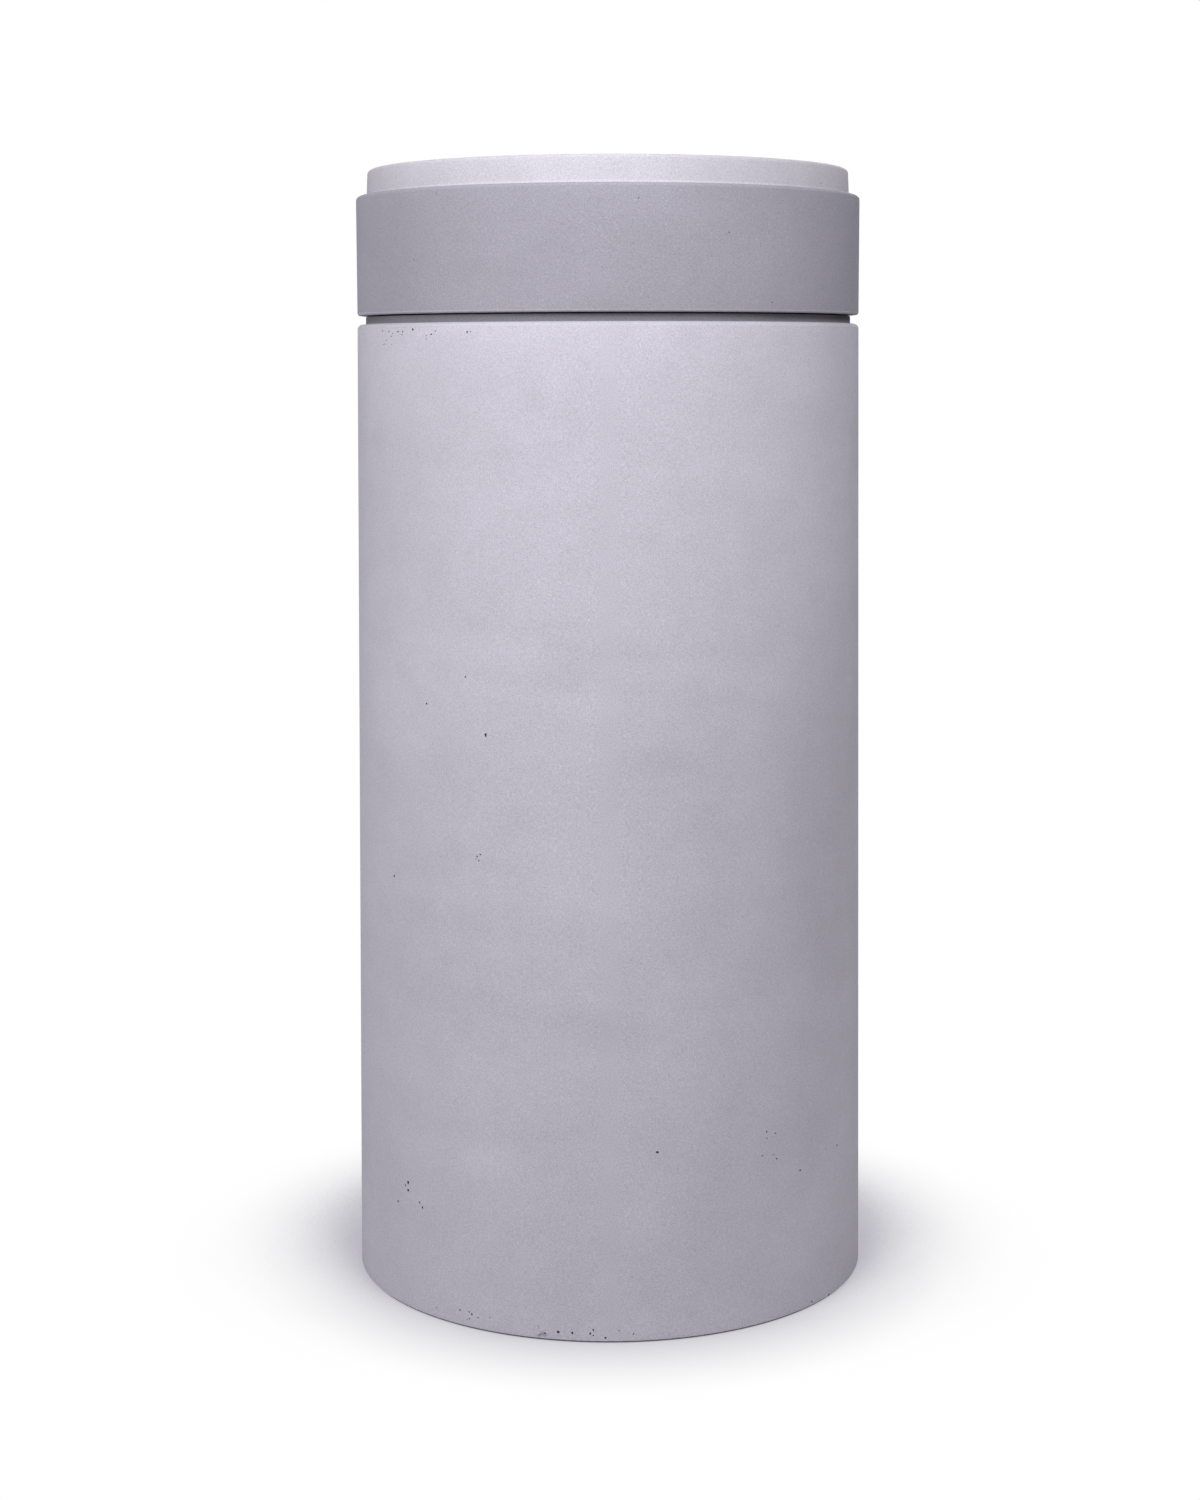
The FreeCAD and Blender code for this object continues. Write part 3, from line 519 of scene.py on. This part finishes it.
def floor_material():
    """White paper: the camera sees it white, and shaded only where the column stands close. The
    shading comes from how near the column is, and not from the lights."""
    n = Nodes("studio_floor")
    near = n.add("ShaderNodeAmbientOcclusion", samples=16)
    near.inputs["Distance"].default_value = FLOOR_SHADE_REACH
    leaning = n.add("ShaderNodeCombineXYZ")
    leaning.inputs["Y"].default_value = -math.sin(FLOOR_SHADE_LEAN)
    leaning.inputs["Z"].default_value = math.cos(FLOOR_SHADE_LEAN)
    n.link(leaning.outputs[0], near.inputs["Normal"])
    hidden = n.math("SUBTRACT", 1.0, near.outputs["AO"], clamp=True)
    wide_shade = n.math("MULTIPLY", n.math("POWER", hidden, FLOOR_SHADE_POWER), FLOOR_SHADE_GAIN)
    contact = n.add("ShaderNodeAmbientOcclusion", samples=16)
    contact.inputs["Distance"].default_value = CONTACT_SHADE_REACH
    touching = n.math("SUBTRACT", 1.0, contact.outputs["AO"], clamp=True)
    narrow_shade = n.math("MULTIPLY", touching, CONTACT_SHADE_GAIN)
    shade = n.math("MAXIMUM", wide_shade, narrow_shade, clamp=True)
    paper = n.add("ShaderNodeEmission")
    n.link(n.mixed(shade, WHITE, FLOOR_SHADE), paper.inputs["Color"])
    path = n.add("ShaderNodeLightPath")
    seen = n.add("ShaderNodeMixShader")
    n.link(path.outputs["Is Camera Ray"], seen.inputs[0])
    n.link(n.shader.outputs[0], seen.inputs[1])
    n.link(paper.outputs[0], seen.inputs[2])
    n.link(seen.outputs[0], n.tree.nodes["Material Output"].inputs["Surface"])
    return n.set(Base_Color=FLOOR_PAPER, Roughness=0.9, Specular_IOR_Level=0.1)


# ---------------------------------------------------------------- castings
# Air holes that stand alone: degrees, height above the floor and radius, both in millimetres.
COLUMN_HOLES = (
    (-27, 444, 1.0),
    (-43, 463, 0.7),
    (-32, 486, 0.6),
    (-29.2, 353.6, 0.6),
    (-28.4, 355.2, 0.55),
    (-28.8, 350.4, 0.5),
    (-29.5, 351.6, 0.4),
    (-55, 327, 0.9),
    (-50, 96, 1.1),
    (-50, 90, 1.0),
    (-51, 93, 0.6),
    (-54, 78, 0.8),
    (-45, 81, 0.8),
    (-46, 84, 0.7),
    (-31, 11, 0.7),
    (-13.9, 5.3, 0.6),
    (-14.9, 4.0, 0.5),
    (-11, 7, 0.9),
    (-8, 7, 0.8),
    (-1, 4, 0.7),
    (10, 140, 0.9),
    (50, 4, 0.7),
    (-47, 743, 0.8),
    (-75, 174, 0.7),
)

# Groups of fine holes: degrees, height, spread in degrees, spread in height, how many.
COLUMN_HOLE_GROUPS = (
    (-55, 737, 4.5, 6, 12),
    (-41, 738, 3, 4, 4),
    (-31, 741, 1.2, 1.5, 2),
    (-33, 9, 8, 4, 7),
    (-5, 7, 12, 3, 6),
    (48, 125, 14, 20, 9),
)

# Chips placed one by one at the foot: degrees, width and height in millimetres.
COLUMN_CHIPS = (
    (-15.2, 1.6, 1.2),
    (57.0, 3.0, 2.6),
    (27.0, 1.2, 1.2),
)

# Levels and patches where a face is darker or lighter: see concrete(). On the column the neck is
# darkened as painted shade in the shadow gap, a line below the shoulder as painted shade against
# the light that its rounding catches from above, and the edge at the foot as a painted shadow under
# the chamfer. The collar's lower edge and the ring's lower edge are made pale as painted light.
COLUMN_PAINTED_SHADE_LEVELS = (
    # Painted shade on the neck, in the shadow gap under the collar.
    (748.4, 760.0, 0.4, 0.42),
    # Painted shade below the shoulder, against the light its rounding catches from above.
    (744.4, 747.2, 0.5, 0.93),
    # Painted shadow at the foot's chamfer, where it meets the floor.
    (-1.0, 1.3, 0.3, 0.4),
)
COLLAR_PAINTED_LIGHT_LEVELS = (
    # Painted light on the collar's lower edge, as if lit from below.
    (754.0, 756.6, 0.6, 1.35),
)
COLLAR_PAINTED_LIGHT_PATCHES = (
    # Painted light: the left of the collar, on the side the light comes from, is lightened.
    (-76, 802, 85, 220, 0, 1.13),
)
BOWL_PAINTED_LIGHT_LEVELS = (
    # Painted light on the ring's lower edge, as if thrown up from the collar's top.
    (849.0, 850.6, 0.5, 1.12),
)
# On the column: clouds and stains, the right side (at 54 degrees) darkened as painted shade on the
# side away from the light, a pale place low on the left, the neck darkened towards its sides (at
# 752 mm) as painted shade in the shadow gap, and the stain round the chip at the foot.
COLUMN_PATCHES = (
    (-16, 690, 16, 18, 20, 0.965),
    (-17, 672, 9, 9, 0, 0.97),
    (-5, 718, 11, 2.5, 50, 0.93),
    (-6, 497, 75, 24, -8, 0.945),
    (12, 425, 62, 20, 12, 0.935),
    (-22, 372, 34, 34, 0, 0.965),
    (-1, 232, 66, 30, 4, 0.93),
    # Painted shade: the right side, away from the light.
    (54, 330, 100, 290, 0, 0.915),
    (-25, 130, 46, 17, -6, 1.05),
    (48, 128, 60, 34, 0, 0.96),
    # Painted shade in the shadow gap, on the neck towards its sides.
    (72, 752, 110, 4.5, 0, 0.15),
    (45, 752, 90, 4.5, 0, 0.55),
    (-75, 752, 80, 4.5, 0, 0.7),
    (-14.2, 4.6, 4.5, 2.6, 18, 0.55),
    (-15.2, 3.2, 2.8, 1.8, 0, 0.62),
    (-15.3, 9.5, 0.9, 3.2, -8, 0.75),
)


def column_cutter(material, rng):
    """Air holes and groups of them as listed, random ones at the back, and chips at the foot."""
    bm = bmesh.new()
    pits = []
    for degrees, height, radius in COLUMN_HOLES:
        place, outward = on_cylinder(COLUMN_RADIUS, degrees, height * MM)
        width = radius * MM * PLACED_HOLE_GROWTH
        add_pit(bm, pits, place, outward, width, radius * MM * PIT_DEPTH, rng)
    for degrees, height, wide, tall, count in COLUMN_HOLE_GROUPS:
        for _ in range(count):
            angle = degrees + rng.uniform(-wide, wide)
            z = (height + rng.uniform(-tall, tall)) * MM
            radius = rng.uniform(0.42, 0.8) * MM
            place, outward = on_cylinder(COLUMN_RADIUS, angle, z)
            add_pit(bm, pits, place, outward, radius, radius * PIT_DEPTH, rng)
    for _ in range(BACK_HOLES):
        angle = rng.uniform(85.0, 275.0)
        radius = rng.uniform(0.5, 1.1) * MM
        place, outward = on_cylinder(COLUMN_RADIUS, angle, rng.uniform(0.01, 0.73))
        add_pit(bm, pits, place, outward, radius, radius * PIT_DEPTH, rng)
    chips = list(COLUMN_CHIPS)
    for _ in range(BACK_CHIPS):
        chips.append((rng.uniform(95.0, 265.0), rng.uniform(1.5, 4.0), rng.uniform(1.2, 2.4)))
    for degrees, wide, tall in chips:
        place, outward = on_cylinder(COLUMN_RADIUS, degrees, 0.0)
        lean = (outward + Vector((0.0, 0.0, -0.35))).normalized()
        add_pit(bm, pits, place, lean, 0.5 * (wide + tall) * MM, 1.4 * MM, rng)
    return new_object("column_cutter", bm, material)


def collar_cutter(material, rng):
    """Small air holes all round the collar."""
    bm = bmesh.new()
    pits = []
    for _ in range(COLLAR_HOLES):
        angle = rng.uniform(0.0, 360.0)
        height = rng.uniform(COLLAR_LOW.z + 4 * MM, COLLAR_HIGH.z - 4 * MM)
        radius = rng.uniform(0.3, 0.6) * MM
        place, outward = on_cylinder(COLLAR_RADIUS_LOW + 0.4 * MM, angle, height)
        add_pit(bm, pits, place, outward, radius, radius * PIT_DEPTH, rng)
    return new_object("collar_cutter", bm, material)


def bowl_cutter(material, rng):
    """Air holes round the rim and in the bowl, above its cove."""
    bm = bmesh.new()
    pits = []
    for _ in range(RIM_HOLES):
        angle = rng.uniform(0.0, 360.0)
        radius = rng.uniform(0.3, 0.55) * MM
        height = rng.uniform(RIM_LOW + 3 * MM, BOWL_HIGH.z - 5 * MM)
        place, outward = on_cylinder(RIM_RADIUS_LOW, angle, height)
        add_pit(bm, pits, place, outward, radius, radius * PIT_DEPTH, rng)
    wall_low = DRAIN + BOWL_FALL + BOWL_COVE
    slope = (RIM_RADIUS_HIGH - RIM_THICKNESS - BOWL_INNER) / (BOWL_HIGH.z - DRAIN - BOWL_FALL)
    for _ in range(BOWL_WALL_HOLES):
        angle = rng.uniform(0.0, 360.0)
        radius = rng.uniform(0.3, 0.7) * MM
        height = rng.uniform(wall_low, BOWL_HIGH.z - 9 * MM)
        wall_radius = BOWL_INNER + slope * (height - DRAIN - BOWL_FALL)
        place, outward = on_cylinder(wall_radius, angle, height)
        add_pit(bm, pits, place, -outward, radius, radius * 2.2, rng)
    return new_object("bowl_cutter", bm, material)


def make_column(material, hole_material):
    column = turned_mesh(
        "concrete_column",
        [
            (COLUMN_BORE + FOOT_CHAMFER, 0.0),
            (COLUMN_RADIUS - FOOT_CHAMFER, 0.0),
            (COLUMN_RADIUS, FOOT_CHAMFER, 0.6 * MM),
            (COLUMN_RADIUS, SHOULDER, 4.0 * MM),
            (NECK_RADIUS, SHOULDER),
            (NECK_RADIUS, NECK_TOP, 0.4 * MM),
            (COLUMN_BORE, NECK_TOP, 2.0 * MM),
            (COLUMN_BORE, FOOT_CHAMFER),
        ],
        material,
    )
    cut(column, column_cutter(hole_material, random.Random(7)))
    smooth(column, SHARPEST_CASTING_EDGE)
    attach(column, "column_body")
    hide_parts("column")


def make_collar(material, hole_material):
    collar = turned_mesh(
        "concrete_collar",
        [
            (COLLAR_BORE, COLLAR_LOW.z, 2.0 * MM),
            (COLLAR_RADIUS_LOW, COLLAR_LOW.z, 2.0 * MM),
            (COLLAR_RADIUS_HIGH, COLLAR_HIGH.z, 3.0 * MM),
            (COLLAR_BORE, COLLAR_HIGH.z, 2.0 * MM),
        ],
        material,
    )
    cut(collar, collar_cutter(hole_material, random.Random(11)))
    smooth(collar, SHARPEST_CASTING_EDGE)
    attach(collar, "basin_body")
    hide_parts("collar")


def make_bowl(material, hole_material):
    bowl = turned_mesh(
        "concrete_bowl",
        [
            (WASTE_HOLE, BOWL_UNDERSIDE),
            (SPIGOT_INNER, BOWL_UNDERSIDE, 3.0 * MM),
            (SPIGOT_INNER, BOWL_LOW.z, 1.5 * MM),
            (SPIGOT_OUTER, BOWL_LOW.z, 1.5 * MM),
            (SPIGOT_OUTER, BOWL_UNDERSIDE),
            (BOWL_OUTER, BOWL_UNDERSIDE, 4.0 * MM),
            (BOWL_OUTER, RIM_LOW),
            (RIM_RADIUS_LOW, RIM_LOW),
            (RIM_RADIUS_HIGH, BOWL_HIGH.z, 3.0 * MM),
            (RIM_RADIUS_HIGH - RIM_THICKNESS, BOWL_HIGH.z, 5.0 * MM),
            (BOWL_INNER, DRAIN + BOWL_FALL, BOWL_COVE),
            (REBATE_RADIUS, DRAIN, 1.0 * MM),
            (REBATE_RADIUS, DRAIN - REBATE_DEPTH),
            (WASTE_HOLE, DRAIN - REBATE_DEPTH),
        ],
        material,
    )
    cut(bowl, bowl_cutter(hole_material, random.Random(5)))
    smooth(bowl, SHARPEST_CASTING_EDGE)
    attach(bowl, "basin_body")
    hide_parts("bowl")


# ---------------------------------------------------------------- plug spring
def make_spring(material):
    """Compression spring with closed ends."""
    low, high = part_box("plug_spring")
    bottom = low.z + SPRING_WIRE
    height = high.z - low.z - 2 * SPRING_WIRE
    end_pitch = 2.1 * SPRING_WIRE
    open_pitch = (height - 2 * end_pitch) / (SPRING_TURNS - 2)
    steps = SPRING_TURNS * SPRING_STEPS
    bm = bmesh.new()
    rings = []
    for i in range(steps + 1):
        turns = i / SPRING_STEPS
        rise = end_pitch * min(turns, 1.0) + open_pitch * min(max(turns - 1.0, 0.0), SPRING_TURNS - 2)
        rise += end_pitch * max(turns - SPRING_TURNS + 1, 0.0)
        angle = 2 * math.pi * turns
        outward = Vector((math.cos(angle), math.sin(angle), 0.0))
        middle = outward * SPRING_RADIUS + Vector((0.0, 0.0, bottom + rise))
        ring = []
        for j in range(SPRING_SIDES):
            turn = 2 * math.pi * j / SPRING_SIDES
            edge = outward * math.cos(turn) + Vector((0.0, 0.0, math.sin(turn)))
            ring.append(bm.verts.new(middle + edge * SPRING_WIRE))
        rings.append(ring)
    for ring, following in zip(rings, rings[1:]):
        for j in range(SPRING_SIDES):
            k = (j + 1) % SPRING_SIDES
            bm.faces.new((ring[j], ring[k], following[k], following[j]))
    bm.faces.new(rings[0])
    bm.faces.new(rings[-1])
    bmesh.ops.recalc_face_normals(bm, faces=bm.faces)
    spring = new_object("coil_spring", bm, material)
    smooth(spring, 50.0)
    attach(spring, "basin_body")
    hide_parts("plug_spring")
    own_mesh(spring)


# ---------------------------------------------------------------- CAD nodes that stay
def dress(materials):
    """Gives every CAD node that stays the material of its slot."""
    for part in frame["record"]["subparts"]:
        material = materials.get(part["material_slot"])
        if material is None:
            continue
        for slot in frame["nodes"][part["node"]].material_slots:
            slot.material = material


# ---------------------------------------------------------------- studio
def make_camera():
    data = bpy.data.cameras.new("camera")
    data.sensor_fit = "VERTICAL"
    data.sensor_width, data.sensor_height = SENSOR
    data.lens = FOCAL_LENGTH
    data.shift_x, data.shift_y = SHIFT
    camera = bpy.data.objects.new("camera", data)
    camera.location = (0.0, -CAMERA_DISTANCE, CAMERA_HEIGHT)
    camera.rotation_euler = (math.pi / 2 - CAMERA_TILT, CAMERA_ROLL, 0.0)
    bpy.context.scene.collection.objects.link(camera)
    bpy.context.scene.camera = camera


def make_soft_box(name, degrees, distance, height, width, watts):
    data = bpy.data.lights.new(name, "AREA")
    data.shape = "DISK"
    data.size = width
    data.energy = watts
    angle = math.radians(degrees)
    light = bpy.data.objects.new(name, data)
    light.location = (distance * math.sin(angle), -distance * math.cos(angle), height)
    light.rotation_euler = (LIGHT_TARGET - light.location).to_track_quat("-Z", "Y").to_euler()
    light.visible_camera = False
    bpy.context.scene.collection.objects.link(light)


def make_sky():
    """An even white dome. What the camera sees of it is plain white."""
    world = bpy.data.worlds.new("studio")
    bpy.context.scene.world = world
    world.use_nodes = True
    tree = world.node_tree
    dome = tree.nodes["Background"]
    dome.inputs["Color"].default_value = WHITE
    dome.inputs["Strength"].default_value = SKY_STRENGTH
    backdrop = tree.nodes.new("ShaderNodeBackground")
    backdrop.inputs["Color"].default_value = WHITE
    path = tree.nodes.new("ShaderNodeLightPath")
    mix = tree.nodes.new("ShaderNodeMixShader")
    tree.links.new(path.outputs["Is Camera Ray"], mix.inputs[0])
    tree.links.new(dome.outputs[0], mix.inputs[1])
    tree.links.new(backdrop.outputs[0], mix.inputs[2])
    tree.links.new(mix.outputs[0], tree.nodes["World Output"].inputs[0])


def make_floor():
    bm = bmesh.new()
    bmesh.ops.create_grid(bm, x_segments=1, y_segments=1, size=15.0)
    floor = new_object("studio_floor", bm, floor_material())


# ---------------------------------------------------------------- the scene
bpy.context.scene.view_settings.view_transform = "Standard"
make_camera()
make_sky()
for box in SOFT_BOXES:
    make_soft_box(*box)
make_floor()
hole_concrete = concrete("concrete_air_hole", HOLE_DIRT_AND_SHADE_TONE, 0.03)
light_concrete = concrete("concrete_light", COLUMN_TONE, 0.05, COLUMN_PAINTED_SHADE_LEVELS, COLUMN_PATCHES)
make_column(light_concrete, hole_concrete)
dark_concrete = concrete("concrete_dark", COLLAR_TONE, 0.03, COLLAR_PAINTED_LIGHT_LEVELS, COLLAR_PAINTED_LIGHT_PATCHES)
make_collar(dark_concrete, hole_concrete)
make_bowl(concrete("concrete_bowl", BOWL_TONE, 0.03, BOWL_PAINTED_LIGHT_LEVELS), hole_concrete)
stainless = machined("stainless_steel", (0.6, 0.6, 0.6), 0.26)
make_spring(stainless)
dress(
    {
        "chromed_brass": polished("chromed_brass", (0.79, 0.79, 0.81), 0.16),
        "brass": machined("turned_brass", (0.72, 0.5, 0.2), 0.3),
        "stainless_steel": stainless,
        "zinc_steel": zinc_plate("zinc_plate"),
        "rubber": rubber("black_rubber"),
        "white_plastic": moulded_plastic("white_plastic", (0.8, 0.8, 0.77), 0.36, 0.1),
        "grey_plastic": moulded_plastic("grey_plastic", (0.2, 0.205, 0.21), 0.46, 0.08),
    }
)
